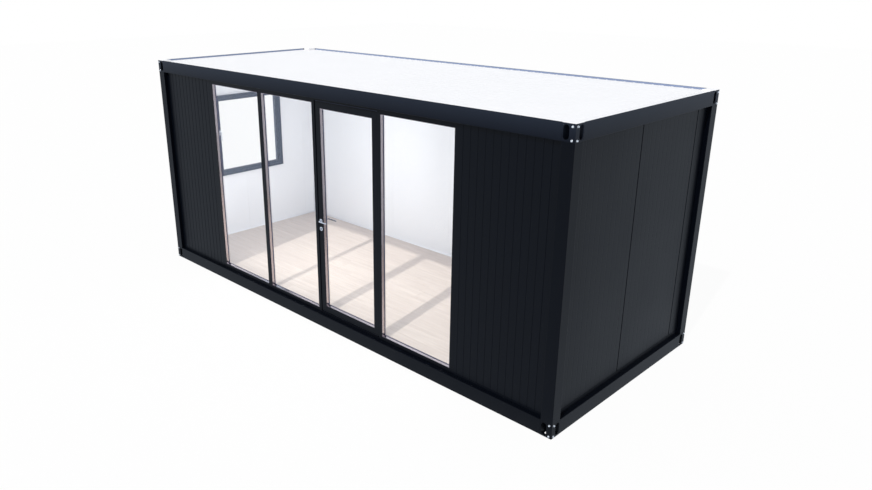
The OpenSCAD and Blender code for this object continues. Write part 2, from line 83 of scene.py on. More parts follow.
# Levels and planes of the cabin, from the frame
FACE_X, FACE_Y = cad_high.x, cad_high.y
BEAM_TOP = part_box("bottom_front_beam")[1].z
WALL_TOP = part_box("top_front_beam")[0].z
FIT_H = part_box("bottom_corner_fittings")[1].z
FRAME_TOP = cad_high.z
SKIN_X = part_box("right_end_panels")[1].x
SKIN_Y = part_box("back_wall_panels")[1].y
ROOM_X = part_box("right_end_panels")[0].x
ROOM_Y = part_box("back_wall_panels")[0].y
FLOOR_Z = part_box("floor_finish")[1].z
CEILING_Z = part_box("ceiling_panel")[0].z
ROOF_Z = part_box("roof_sheet")[0].z
RIB_H = 0.0025
RIB_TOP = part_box("roof_end_strips")[1].z + RIB_H
FITTING_X, FITTING_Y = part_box("bottom_front_beam")[1].x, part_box("bottom_right_beam")[1].y

# The glazed front: edges of the mullions and of the fixed lights, left to right
MULLIONS = ((-0.954, -0.884), (-0.028, 0.016), (0.918, 0.962))
GLAZE_X0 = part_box("glazing_left_jamb")[0].x
GLAZE_X1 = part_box("glazing_right_jamb")[1].x
GLAZE_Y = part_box("glazing_sill")[0].y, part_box("glazing_sill")[1].y
GLASS_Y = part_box("fixed_glass")[0].y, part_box("fixed_glass")[1].y
LIGHT_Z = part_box("glazing_sill")[1].z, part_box("glazing_head")[0].z
LIGHTS = (
    (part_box("glazing_left_jamb")[1].x, MULLIONS[0][0]),
    (MULLIONS[0][1], MULLIONS[1][0]),
    (MULLIONS[2][1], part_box("glazing_right_jamb")[0].x),
)

# The door leaf and its glass
LEAF_LOW, LEAF_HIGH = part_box("door_lock_stile")[0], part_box("door_hinge_stile")[1]
PANE_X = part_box("door_lock_stile")[1].x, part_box("door_hinge_stile")[0].x
PANE_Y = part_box("door_glass")[0].y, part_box("door_glass")[1].y
PANE_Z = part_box("door_bottom_rail")[1].z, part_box("door_top_rail")[0].z

# The wall panels' width and the open joint between two of them
PANEL_W, PANEL_JOINT, JOINT_DEPTH = 1.0, 0.012, 0.030

# The door's hinge line, its lever and its lock
HINGE_X, HINGE_Y = next(j for j in frame["joints"] if j["name"] == "door_hinge")["pos_m"][:2]
LEVER_X = (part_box("door_roses")[0].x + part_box("door_roses")[1].x) / 2
LEVER_Z = (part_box("inner_lever")[0].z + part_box("inner_lever")[1].z) / 2
LOCK_Z = (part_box("lock_cylinder")[0].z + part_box("lock_cylinder")[1].z) / 2

# Turns that bring a ring's XY plane upright, its Z towards the front or towards the right end
TO_FRONT = Matrix.Rotation(math.pi / 2, 4, "X")
TO_RIGHT = Matrix(((0, 0, 1), (1, 0, 0), (0, 1, 0))).to_4x4()

# Tolerances: doubled corners of a node, faces that count as flat, and places that count as one
MERGE, FLAT, SAME = 1e-5, math.radians(1.0), 1e-6

# Colours. The top beams are black with a painted sky reflection, darkest at their foot and lightest
# at the rim
BLACK = (0.0012, 0.0022, 0.0049, 1.0)
FOOT_PAINTED_SKY_BLACK = (0.0045, 0.0065, 0.0125, 1.0)
RIM_PAINTED_SKY_BLACK = (0.0150, 0.0205, 0.0335, 1.0)
WINDOW_BLACK = (0.0016, 0.0024, 0.0048, 1.0)
RUBBER_BLACK = (0.010, 0.010, 0.011, 1.0)
ANTHRACITE = (0.008, 0.013, 0.034, 1.0)
SEAL_GREY = (0.085, 0.098, 0.165, 1.0)
# The rim flashings' blue-grey is painted shade and a painted sky reflection on their inner faces
RIM_PAINTED_SKY_SHADE = (0.24, 0.30, 0.46, 1.0)
DUST = (0.10, 0.103, 0.107, 1.0)
ROOF_WHITE = (0.93, 0.925, 0.943, 1.0)
WHITE_LINING = (0.88, 0.89, 0.92, 1.0)
WHITE = (1.0, 1.0, 1.0, 1.0)
PALE_SKY = (0.80, 0.885, 1.0, 1.0)

# Depth of a sprayed coat's orange peel
PEEL_DEPTH = 0.0004


# Shader helpers


def add_node(tree, kind, inputs=None, **settings):
    """A shader node with its settings, and its inputs set or linked by name or number."""
    made = tree.nodes.new(kind)
    for key, value in settings.items():
        setattr(made, key, value)
    for key, value in (inputs or {}).items():
        if isinstance(value, bpy.types.NodeSocket):
            tree.links.new(value, made.inputs[key])
        else:
            made.inputs[key].default_value = value
    return made


def calc(tree, operation, a, b=0.0, c=0.0):
    """The result of a Math node."""
    return add_node(tree, "ShaderNodeMath", {0: a, 1: b, 2: c}, operation=operation).outputs[0]


def within(tree, value, half):
    """1 where a value is less than half away from 0, and 0 elsewhere."""
    return calc(tree, "LESS_THAN", calc(tree, "ABSOLUTE", value), half)


def mix_colour(tree, share, a, b):
    """Colour a where share is 0 and colour b where it is 1."""
    return add_node(tree, "ShaderNodeMix", {0: share, 6: a, 7: b}, data_type="RGBA").outputs[2]


def patched(tree, patch, colour, depth):
    """A colour that is darkened to a share of itself where patch is 0."""
    dark = tuple(depth * c for c in colour[:3]) + (1.0,)
    return mix_colour(tree, patch, dark, colour)


def object_place(tree):
    """The point on the object, in metres."""
    return add_node(tree, "ShaderNodeTexCoord").outputs["Object"]


def object_axes(tree):
    """The X, Y and Z of the point on the object, in metres."""
    return add_node(tree, "ShaderNodeSeparateXYZ", {0: object_place(tree)}).outputs


def stretched(tree, place, scale):
    """A place with a scale of its own along each axis."""
    return add_node(tree, "ShaderNodeMapping", {"Vector": place, "Scale": scale}).outputs[0]


def noise(tree, place, scale, detail=2.0, roughness=0.5):
    """The value of a noise texture."""
    given = {"Vector": place, "Scale": scale, "Detail": detail, "Roughness": roughness}
    return add_node(tree, "ShaderNodeTexNoise", given).outputs[0]


def bump(tree, height, strength, distance):
    """A normal from a height."""
    given = {"Height": height, "Strength": strength, "Distance": distance}
    return add_node(tree, "ShaderNodeBump", given).outputs["Normal"]


def blend_surface(tree, share, a, b, output="Material Output"):
    """Joins a mix of two shader nodes to the output: a where share is 0 and b where it is 1."""
    mixed = add_node(tree, "ShaderNodeMixShader", {0: share, 1: a.outputs[0], 2: b.outputs[0]})
    tree.links.new(mixed.outputs[0], tree.nodes[output].inputs["Surface"])


def shader_group(name, inputs, outputs):
    """An empty node group with value inputs, given with their defaults, and value outputs."""
    tree = bpy.data.node_groups.new(name, "ShaderNodeTree")
    for label, default in inputs.items():
        socket = tree.interface.new_socket(label, in_out="INPUT", socket_type="NodeSocketFloat")
        socket.default_value = default
    for label in outputs:
        tree.interface.new_socket(label, in_out="OUTPUT", socket_type="NodeSocketFloat")
    given = tree.nodes.new("NodeGroupInput").outputs
    return tree, given, tree.nodes.new("NodeGroupOutput").inputs


def make_coat_grain():
    """Orange peel of a sprayed coat, and broad patches of slightly different sheen."""
    tree, given, out = shader_group(
        "coat_grain",
        {"Scale": 600.0, "Roughness": 0.45, "Spread": 0.1},
        ("Height", "Roughness", "Patch"),
    )
    place = object_place(tree)
    peel = noise(tree, place, given["Scale"], 1.0)
    patch = noise(tree, place, 1.4, 3.0)
    swing = calc(tree, "SUBTRACT", patch, 0.5)
    sheen = calc(tree, "MULTIPLY_ADD", swing, given["Spread"], given["Roughness"])
    tree.links.new(peel, out["Height"])
    tree.links.new(sheen, out["Roughness"])
    tree.links.new(patch, out["Patch"])
    return tree


def make_ground_dust():
    """Dust near the ground, thinning out up to a height."""
    tree, given, out = shader_group("ground_dust", {"Fade": 0.3, "Amount": 0.3}, ("Dust",))
    height = object_axes(tree)["Z"]
    fading = {"Value": height, "From Max": given["Fade"], "To Min": 1.0, "To Max": 0.0}
    low = add_node(tree, "ShaderNodeMapRange", fading).outputs[0]
    cloud = noise(tree, object_place(tree), 9.0, 5.0, 0.65)
    thin = calc(tree, "MULTIPLY", calc(tree, "POWER", low, 2.0), cloud)
    tree.links.new(calc(tree, "MULTIPLY", thin, given["Amount"]), out["Dust"])
    return tree


def make_room_side():
    """1 on what lies inside the room's walls, 0 outside."""
    sizes = {"Half Length": 1.0, "Half Width": 1.0}
    tree, given, out = shader_group("room_side", sizes, ("Mask",))
    axes = object_axes(tree)
    along = within(tree, axes["X"], given["Half Length"])
    across = within(tree, axes["Y"], given["Half Width"])
    tree.links.new(calc(tree, "MULTIPLY", along, across), out["Mask"])
    return tree


COAT_GRAIN = make_coat_grain()
GROUND_DUST = make_ground_dust()
ROOM_SIDE = make_room_side()


def use_group(tree, group, **values):
    """A node group placed in a material with its own values."""
    made = add_node(tree, "ShaderNodeGroup", node_tree=group)
    for key, value in values.items():
        made.inputs[key.replace("_", " ")].default_value = value
    return made.outputs


def coat_grain(tree, roughness, scale=600.0, spread=0.12):
    """The grain of a sprayed coat, placed in a material."""
    return use_group(tree, COAT_GRAIN, Scale=scale, Roughness=roughness, Spread=spread)


# Finishes


def new_finish(name, **values):
    """A material, its node tree and its shader's inputs, with plain values set on the shader."""
    material = bpy.data.materials.new(name)
    material.use_nodes = True
    shader = material.node_tree.nodes["Principled BSDF"]
    for key, value in values.items():
        shader.inputs[key.replace("_", " ")].default_value = value
    return material, material.node_tree, shader.inputs


def lay_coat(tree, shader, tone, grain, peel):
    """Joins a coat's colour, sheen and orange peel to its shader."""
    tree.links.new(tone, shader["Base Color"])
    tree.links.new(grain["Roughness"], shader["Roughness"])
    tree.links.new(bump(tree, grain["Height"], peel, PEEL_DEPTH), shader["Normal"])


def coated(name, colour, roughness, specular, dusty=0.0, scale=600.0, depth=0.8, peel=0.12):
    """A sprayed coat: orange peel, patches of sheen, and dust near the ground if it is dusty."""
    material, tree, shader = new_finish(name, Specular_IOR_Level=specular)
    grain = coat_grain(tree, roughness, scale)
    tone = patched(tree, grain["Patch"], colour, depth)
    if dusty:
        tone = mix_colour(tree, use_group(tree, GROUND_DUST, Amount=dusty)["Dust"], tone, DUST)
    lay_coat(tree, shader, tone, grain, peel)
    return material


def make_wall_sheet():
    """Coated wall sheet: black outside, white on the room's side."""
    margin = 0.005
    material, tree, shader = new_finish("wall_sheet", Specular_IOR_Level=0.10)
    grain = coat_grain(tree, 0.40, scale=420.0)
    dust = use_group(tree, GROUND_DUST, Fade=0.45, Amount=0.03)["Dust"]
    room = {"Half_Length": ROOM_X + margin, "Half_Width": ROOM_Y + margin}
    inside = use_group(tree, ROOM_SIDE, **room)["Mask"]
    outer = mix_colour(tree, dust, patched(tree, grain["Patch"], BLACK, 0.8), DUST)
    inner = patched(tree, grain["Patch"], WHITE_LINING, 0.97)
    lay_coat(tree, shader, mix_colour(tree, inside, outer, inner), grain, 0.02)
    return material


def black_with_painted_sky(tree, patch):
    """The top beams' black with a painted sky reflection that grows lighter towards the rim."""
    above = calc(tree, "SUBTRACT", object_axes(tree)["Z"], WALL_TOP)
    share = calc(tree, "DIVIDE", above, FRAME_TOP - WALL_TOP)
    low = patched(tree, patch, FOOT_PAINTED_SKY_BLACK, 0.85)
    high = patched(tree, patch, RIM_PAINTED_SKY_BLACK, 0.85)
    return mix_colour(tree, share, low, high)


def make_top_paint():
    """The top beams' coat: black with a painted sky reflection."""
    material, tree, shader = new_finish("top_paint", Specular_IOR_Level=0.08)
    grain = coat_grain(tree, 0.36)
    lay_coat(tree, shader, black_with_painted_sky(tree, grain["Patch"]), grain, 0.08)
    return material


def make_top_fitting_coat():
    """The top corner fittings' coat: black outside, the roof's white on top and in the rim."""
    top_edge, margin = 0.0015, 0.0005
    material, tree, shader = new_finish("top_fitting_coat", Specular_IOR_Level=0.08)
    grain = coat_grain(tree, 0.36, spread=0.1)
    axes = object_axes(tree)
    on_top = calc(tree, "GREATER_THAN", axes["Z"], FRAME_TOP - top_edge)
    above_roof = calc(tree, "GREATER_THAN", axes["Z"], ROOF_Z)
    inner_x = within(tree, axes["X"], FITTING_X + margin)
    inner_y = within(tree, axes["Y"], FITTING_Y + margin)
    in_rim = calc(tree, "MULTIPLY", calc(tree, "MAXIMUM", inner_x, inner_y), above_roof)
    white = calc(tree, "MAXIMUM", on_top, in_rim)
    # The black outside is the top beams' black with its painted sky reflection
    tone = mix_colour(tree, white, black_with_painted_sky(tree, grain["Patch"]), ROOF_WHITE)
    lay_coat(tree, shader, tone, grain, 0.08)
    return material


def make_zinc():
    """Galvanised steel with its crystal pattern."""
    dull, bright = (0.50, 0.52, 0.54, 1.0), (0.72, 0.74, 0.76, 1.0)
    material, tree, shader = new_finish("zinc_coat", Metallic=1.0)
    given = {"Vector": object_place(tree), "Scale": 90.0}
    cells = add_node(tree, "ShaderNodeTexVoronoi", given).outputs["Color"]
    spangle = add_node(tree, "ShaderNodeSeparateColor", {0: cells}).outputs[0]
    tree.links.new(mix_colour(tree, spangle, dull, bright), shader["Base Color"])
    tree.links.new(calc(tree, "MULTIPLY_ADD", spangle, 0.2, 0.32), shader["Roughness"])
    return material


def make_cement_board():
    """Raw grey building board."""
    dark, pale = (0.22, 0.21, 0.19, 1.0), (0.46, 0.44, 0.40, 1.0)
    material, tree, shader = new_finish("cement_board", Specular_IOR_Level=0.2)
    fleck = noise(tree, object_place(tree), 160.0, 5.0, 0.7)
    tree.links.new(mix_colour(tree, fleck, dark, pale), shader["Base Color"])
    tree.links.new(calc(tree, "MULTIPLY_ADD", fleck, 0.2, 0.75), shader["Roughness"])
    tree.links.new(bump(tree, fleck, 0.3, 0.0006), shader["Normal"])
    return material


def make_oak():
    """Pale oak laminate, its grain along X and a tone of its own for each plank."""
    figure_dark, figure_pale = (0.470, 0.390, 0.335, 1.0), (0.88, 0.79, 0.725, 1.0)
    pore_brown, plank_brown = (0.455, 0.372, 0.320, 1.0), (0.54, 0.455, 0.408, 1.0)
    material, tree, shader = new_finish("oak_plank", Specular_IOR_Level=0.25)
    tone = add_node(tree, "ShaderNodeAttribute", attribute_name="plank").outputs["Fac"]
    shift = {0: calc(tree, "MULTIPLY", tone, 37.0), 1: calc(tree, "MULTIPLY", tone, 11.0)}
    apart = add_node(tree, "ShaderNodeCombineXYZ", shift).outputs[0]
    place = add_node(tree, "ShaderNodeVectorMath", {0: object_place(tree), 1: apart}).outputs[0]
    figure = noise(tree, stretched(tree, place, (1.1, 16.0, 16.0)), 1.6, 6.0, 0.62)
    pores = noise(tree, stretched(tree, place, (9.0, 240.0, 240.0)), 1.0, 3.0, 0.6)
    colour = mix_colour(tree, figure, figure_dark, figure_pale)
    colour = mix_colour(tree, calc(tree, "MULTIPLY", pores, 0.46), colour, pore_brown)
    colour = mix_colour(tree, calc(tree, "MULTIPLY", tone, 0.30), colour, plank_brown)
    tree.links.new(colour, shader["Base Color"])
    tree.links.new(calc(tree, "MULTIPLY_ADD", figure, 0.15, 0.42), shader["Roughness"])
    tree.links.new(bump(tree, pores, 0.12, 0.0003), shader["Normal"])
    return material


def make_glass():
    """Clear glass that lets the lamps, and what the metal round it mirrors, through to the room."""
    material, tree, _ = new_finish(
        "clear_glass",
        Base_Color=WHITE,
        Roughness=0.0,
        IOR=1.56,
        Transmission_Weight=1.0,
        Specular_Tint=(0.72, 0.80, 1.0, 1.0),
    )
    path = add_node(tree, "ShaderNodeLightPath").outputs
    lamps = calc(tree, "MAXIMUM", path["Is Shadow Ray"], path["Is Diffuse Ray"])
    mirrored = calc(tree, "SUBTRACT", path["Is Glossy Ray"], path["Is Transmission Ray"])
    straight = calc(tree, "MAXIMUM", lamps, mirrored)
    through = add_node(tree, "ShaderNodeBsdfTransparent", {"Color": (0.95, 0.97, 0.97, 1.0)})
    blend_surface(tree, straight, tree.nodes["Principled BSDF"], through)
    return material


def make_brushed(name, colour, roughness):
    """Metal brushed along X."""
    material, tree, shader = new_finish(name, Metallic=1.0)
    streak = noise(tree, stretched(tree, object_place(tree), (20.0, 900.0, 900.0)), 1.0, 3.0)
    tree.links.new(patched(tree, streak, colour, 0.86), shader["Base Color"])
    tree.links.new(calc(tree, "MULTIPLY_ADD", streak, 0.12, roughness), shader["Roughness"])
    tree.links.new(bump(tree, streak, 0.08, 0.0002), shader["Normal"])
    return material


FRAME_PAINT = coated("frame_paint", BLACK, roughness=0.40, specular=0.085, dusty=0.05)
TOP_PAINT = make_top_paint()
TOP_FITTING = make_top_fitting_coat()
WALL_SHEET = make_wall_sheet()
WINDOW_COAT = coated("window_coat", WINDOW_BLACK, roughness=0.38, specular=0.1, scale=1100.0)
END_WINDOW_COAT = coated(
    "end_window_coat", ANTHRACITE, roughness=0.36, specular=0.12, scale=1100.0, peel=0.03
)
ROOF_COAT = coated("roof_coat", ROOF_WHITE, roughness=0.5, specular=0.2, depth=0.96, peel=0.05)
LINING_COAT = coated(
    "lining_coat", WHITE_LINING, roughness=0.5, specular=0.2, depth=0.97, peel=0.04
)
# The rim flashings' coat: blue-grey painted shade and painted sky reflection
RIM_SKY_SHADE_COAT = coated("rim_painted_sky_shade", RIM_PAINTED_SKY_SHADE, roughness=0.4, specular=0.3, depth=0.9)
RUBBER = coated("seal_rubber", RUBBER_BLACK, roughness=0.7, specular=0.2, scale=1500.0)
GREY_SEAL = coated("grey_seal", SEAL_GREY, roughness=0.6, specular=0.2, scale=1500.0)
ZINC = make_zinc()
CEMENT_BOARD = make_cement_board()
OAK = make_oak()
GLASS = make_glass()
CHROME = make_brushed("satin_chrome", (0.80, 0.82, 0.88, 1.0), 0.2)
# The same chrome, darkened as painted shade for the inner lever in the room
SHADED_CHROME = make_brushed("shaded_chrome", (0.26, 0.28, 0.33, 1.0), 0.2)
PLUG_METAL = make_brushed("plug_metal", (0.03, 0.033, 0.045, 1.0), 0.3)
BRIGHT_ZINC = make_brushed("bright_zinc", (0.92, 0.93, 0.94, 1.0), 0.22)
ALUMINIUM = make_brushed("mill_aluminium", (0.66, 0.58, 0.62, 1.0), 0.12)

NODE_FINISHES = {
    "beam corner_posts fittings hinge": FRAME_PAINT,
    "top_": TOP_PAINT,
    "top_corner_fittings": TOP_FITTING,
    "panel": WALL_SHEET,
    "glazing door_lock door_hinge door_top door_bottom door_beads": WINDOW_COAT,
    "window_frame window_sash window_handle": END_WINDOW_COAT,
    "roof": ROOF_COAT,
    "ceiling_panel": LINING_COAT,
    "floor_joists": ZINC,
    "floor_board": CEMENT_BOARD,
    "floor_finish": OAK,
    "glass": GLASS,
    "roses lever": CHROME,
    "lock_cylinder": PLUG_METAL,
}


def finish_frame():
    """Gives each node of the frame the last finish in the list that has a word of its name."""
    for name, node in frame["nodes"].items():
        for words, material in NODE_FINISHES.items():
            if any(word in name for word in words.split()):
                finish = material
        node.data.materials.clear()
        node.data.materials.append(finish)


# Mesh helpers


def ends(side, a, b):
    """Two places on the side of the middle that a sign gives, the lower one first."""
    return sorted((side * a, side * b))


def facing(point, direction):
    """A place at a point whose Z looks along a direction."""
    turn = Vector(direction).to_track_quat("Z", "Y").to_matrix().to_4x4()
    return Matrix.Translation(point) @ turn


def verts_of(geometry):
    """The vertices among what an operator has made."""
    return [g for g in geometry if isinstance(g, bmesh.types.BMVert)]


def face_of(geometry):
    """The first face among what an operator has made."""
    return next(g for g in geometry if isinstance(g, bmesh.types.BMFace))


def pour(bm, part):
    """Adds a finished part to a piece's mesh."""
    mesh = bpy.data.meshes.new("part")
    part.to_mesh(mesh)
    part.free()
    bm.from_mesh(mesh)
    bpy.data.meshes.remove(mesh)


def round_off(bm, edges, radius, segments=2):
    """Rounds edges off."""
    bmesh.ops.bevel(
        bm,
        geom=edges,
        offset=radius,
        offset_type="OFFSET",
        segments=segments,
        profile=0.5,
        affect="EDGES",
        material=-1,
    )


def new_block(low, high):
    """A part that is a plain block between two corners."""
    part = bmesh.new()
    low, high = Vector(low), Vector(high)
    place = Matrix.Translation((low + high) / 2) @ Matrix.Diagonal((*(high - low), 1.0))
    bmesh.ops.create_cube(part, size=1.0, matrix=place)
    return part


def add_bar(bm, low, high, edge=0.0, segments=2):
    """A bar between two corners, with its edges rounded off."""
    part = new_block(low, high)
    if edge:
        round_off(part, part.edges[:], edge, segments)
    pour(bm, part)


def draw_out(part, face, along):
    """Extrudes a face along a vector and returns its far end. No face is left inside the shape."""
    made = bmesh.ops.extrude_face_region(part, geom=[face])["geom"]
    bmesh.ops.translate(part, verts=verts_of(made), vec=along)
    if face.is_valid and all(len(e.link_faces) > 2 for e in face.edges):
        bmesh.ops.delete(part, geom=[face], context="FACES_ONLY")
    return face_of(made)


def add_run(bm, outline, length, place):
    """A straight run of a section: the outline lies in place's XY plane and runs along its Z."""
    part = bmesh.new()
    face = part.faces.new([part.verts.new((x, y, 0.0)) for x, y in outline])
    made = bmesh.ops.extrude_face_region(part, geom=[face])["geom"]
    bmesh.ops.translate(part, verts=verts_of(made), vec=(0.0, 0.0, length))
    bmesh.ops.transform(part, matrix=place, verts=part.verts[:])
    bmesh.ops.recalc_face_normals(part, faces=part.faces[:])
    pour(bm, part)


def add_ring(bm, start, turn, size, width, depth, edge=0.0):
    """A rectangular ring from a corner: bars that reach width inwards and depth along turn's Z."""
    sharp_angle = 0.1
    part = bmesh.new()
    across, up = size
    corners = ((0, 0), (across, 0), (across, up), (0, up))
    face = part.faces.new([part.verts.new((x, y, 0.0)) for x, y in corners])
    part.normal_update()
    bmesh.ops.inset_region(
        part, faces=[face], thickness=width, use_even_offset=True, use_boundary=True
    )
    bmesh.ops.delete(part, geom=[face], context="FACES_ONLY")
    made = bmesh.ops.extrude_face_region(part, geom=part.faces[:])["geom"]
    bmesh.ops.translate(part, verts=verts_of(made), vec=(0.0, 0.0, depth))
    bmesh.ops.recalc_face_normals(part, faces=part.faces[:])
    if edge:
        sharp = [e for e in part.edges if e.calc_face_angle(0.0) > sharp_angle]
        round_off(part, sharp, edge)
    bmesh.ops.transform(part, matrix=Matrix.Translation(start) @ turn, verts=part.verts[:])
    bmesh.ops.recalc_face_normals(part, faces=part.faces[:])
    pour(bm, part)


def add_turned(bm, profile, place, steps=24, closed=False):
    """A turned part: a profile of radii and heights, spun round place's Z."""
    part = bmesh.new()
    line = [part.verts.new((r, 0.0, z)) for r, z in profile]
    pairs = list(zip(line, line[1:])) + ([(line[-1], line[0])] if closed else [])
    bmesh.ops.spin(
        part,
        geom=line + [part.edges.new(pair) for pair in pairs],
        axis=(0.0, 0.0, 1.0),
        cent=(0.0, 0.0, 0.0),
        angle=math.tau,
        steps=steps,
        use_merge=True,
        use_duplicate=False,
    )
    bmesh.ops.remove_doubles(part, verts=part.verts[:], dist=SAME)
    bmesh.ops.recalc_face_normals(part, faces=part.faces[:])
    for face in part.faces:
        face.smooth = True
    bmesh.ops.transform(part, matrix=place, verts=part.verts[:])
    pour(bm, part)


def make_piece(bm, name, material, body):
    """Turns a mesh into a piece that rides on a body."""
    mesh = bpy.data.meshes.new(name)
    bm.to_mesh(mesh)
    bm.free()
    mesh.materials.append(material)
    piece = bpy.data.objects.new(name, mesh)
    scene.collection.objects.link(piece)
    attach(piece, body)
    return piece


# Copies that stand for nodes of the frame


def node_mesh(name):
    """A copy of a node's mesh, with its doubled corners merged."""
    bm = bmesh.new()
    bm.from_mesh(frame["nodes"][name].data)
    bmesh.ops.remove_doubles(bm, verts=bm.verts[:], dist=MERGE)
    return bm


def join_flats(bm):
    """Joins faces that lie in one plane."""
    bmesh.ops.dissolve_limit(bm, angle_limit=FLAT, verts=bm.verts[:], edges=bm.edges[:])


def stand_for(bm, name, ending):
    """Turns a mesh into a flat-shaded piece that stands for a node, on its body."""
    node = frame["nodes"][name]
    for face in bm.faces:
        face.smooth = False
    piece = make_piece(bm, name + ending, node.data.materials[0], node["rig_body"])
    normals = piece.data.attributes.get("custom_normal")
    if normals:
        piece.data.attributes.remove(normals)
    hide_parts(name)


def ease_edges(slot, radius, *names, shortest=0.0):
    """Copies of nodes with their outer edges, from a shortest length, rounded off."""
    fold_angle, face_w = 0.6, 3 * radius
    for name in names:
        bm = node_mesh(name)
        join_flats(bm)
        outer = [
            e
            for e in bm.edges
            if e.is_manifold
            and e.calc_length() > shortest
            and e.calc_face_angle_signed() > fold_angle
            and all(f.calc_area() > face_w * e.calc_length() for f in e.link_faces)
        ]
        round_off(bm, outer, radius, 3)
        stand_for(bm, name, "_eased")


def press_relief(name, axis, level, flat, slide=0.0):
    """A copy of a node, its relief at a level of an axis pressed to another and slid along X."""
    near = 1e-4
    bm = node_mesh(name)
    inside = [f for f in bm.faces if sum(len(e.link_faces) > 2 for e in f.edges) > 1]
    bmesh.ops.delete(bm, geom=inside, context="FACES")
    if slide:
        join_flats(bm)
    raised = [v for v in bm.verts if abs(v.co[axis] - level) < near]
    if slide:
        mouths = {e.other_vert(v) for v in raised for e in v.link_edges}
        bmesh.ops.translate(bm, verts=list(mouths.union(raised)), vec=(slide, 0.0, 0.0))
    shift = Vector((0.0, 0.0, 0.0))
    shift[axis] = flat - level
    bmesh.ops.translate(bm, verts=raised, vec=shift)
    stand_for(bm, name, "_pressed")


def ease_frame():
    """Rounded folds on the steel frame, and rounded edges on the aluminium and the fittings."""
    fold_r, fitting_r, profile_r, window_r, shortest_fold = 0.004, 0.0022, 0.0012, 0.0015, 0.5
    sides = ("front", "back", "left", "right")
    beams = [f"{level}_{side}_beam" for level in ("bottom", "top") for side in sides]
    glazing = ("left_jamb", "right_jamb", "head", "sill", "mullions", "beads")
    leaf = ("lock_stile", "hinge_stile", "top_rail", "bottom_rail", "beads")
    ease_edges("frame_steel", fold_r, *beams, "corner_posts", shortest=shortest_fold)
    ease_edges("frame_steel", fitting_r, "bottom_corner_fittings", "top_corner_fittings")
    ease_edges("window_aluminium", profile_r, *(f"glazing_{part}" for part in glazing))
    ease_edges("window_aluminium", profile_r, *(f"door_{part}" for part in leaf))
    ease_edges("window_aluminium", window_r, "window_frame", "window_sash")


def press_sheets():
    """Shallow grooves in the end walls, deeper ones in front and back, and low ribs on the roof."""
    groove_d, shallow, deep, right_slide = 0.002, 0.0004, 0.0025, -0.032
    press_relief("right_end_panels", 0, SKIN_X - groove_d, SKIN_X - shallow)
    press_relief("left_end_panels", 0, groove_d - SKIN_X, shallow - SKIN_X)
    for name, slide in (("front_left_panel", 0.0), ("front_right_panel", right_slide)):
        press_relief(name, 1, groove_d - SKIN_Y, deep - SKIN_Y, slide)
    press_relief("back_wall_panels", 1, SKIN_Y - groove_d, SKIN_Y - deep)
    press_relief("roof_sheet", 2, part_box("roof_sheet")[1].z, RIB_TOP)


# Steel frame, walls and roof: bolts, flashings, seals and covers


def make_corner_bolts():
    """Two flange bolts on each outer face of the eight corner fittings."""
    from_edge, flange_r, flange_h = 0.026, 0.0092, 0.0028
    hexagon_r, hexagon_h, hexagon_edge = 0.0076, 0.0052, 0.0009
    flange = (
        (0.0, flange_h),
        (0.8 * flange_r, flange_h),
        (flange_r, 0.4 * flange_h),
        (flange_r, 0.0),
        (0.0, 0.0),
    )
    # Below and above the slots of the bottom fittings, then of the top ones
    bottom, top = FIT_H / 2, FRAME_TOP - FIT_H / 2
    heights = (0.019, bottom + 0.051, top - 0.056, top + 0.046)
    bm = bmesh.new()

    def bolt(place):
        """A hexagon head on a round flange."""
        add_turned(bm, flange, place, steps=20)
        head = bmesh.new()
        bmesh.ops.create_cone(
            head,
            cap_ends=True,
            segments=6,
            radius1=hexagon_r,
            radius2=hexagon_r,
            depth=hexagon_h,
            matrix=place @ Matrix.Translation((0.0, 0.0, flange_h + hexagon_h / 2)),
        )
        out = place.col[2].to_3d()
        crown = max(head.faces, key=lambda f: f.calc_center_median().dot(out))
        round_off(head, crown.edges[:], hexagon_edge)
        pour(bm, head)

    for sx in (-1, 1):
        for sy in (-1, 1):
            for z in heights:
                bolt(facing((sx * (FACE_X - from_edge), sy * FACE_Y, z), (0, sy, 0)))
                bolt(facing((sx * FACE_X, sy * (FACE_Y - from_edge), z), (sx, 0, 0)))
    make_piece(bm, "corner_bolts", BRIGHT_ZINC, "cabin")


def make_foot_flashings():
    """Folded strips on the beams that cover the foot of the walls."""
    sheet, foot = 0.002, 0.022
    front_h, end_h = 0.030, 0.044
    bm = bmesh.new()

    def strip(start, direction, length, height):
        """A strip along direction, its upright leg on the wall to the left of it."""
        outline = ((0, 0), (foot, 0), (foot, sheet), (sheet, sheet), (sheet, height), (0, height))
        along = Vector(direction)
        out = along.cross(Vector((0, 0, 1)))
        turn = Matrix((out, (0, 0, 1), along)).transposed().to_4x4()
        add_run(bm, outline, length, Matrix.Translation(start) @ turn)

    panel_l = ROOM_X - GLAZE_X1
    strip((-ROOM_X, -SKIN_Y, BEAM_TOP), (1, 0, 0), panel_l, front_h)
    strip((GLAZE_X1, -SKIN_Y, BEAM_TOP), (1, 0, 0), panel_l, front_h)
    strip((SKIN_X, -ROOM_Y, BEAM_TOP), (0, 1, 0), 2 * ROOM_Y, end_h)
    strip((ROOM_X, SKIN_Y, BEAM_TOP), (-1, 0, 0), 2 * ROOM_X, front_h)
    strip((-SKIN_X, ROOM_Y, BEAM_TOP), (0, -1, 0), 2 * ROOM_Y, end_h)
    make_piece(bm, "foot_flashings", FRAME_PAINT, "cabin")


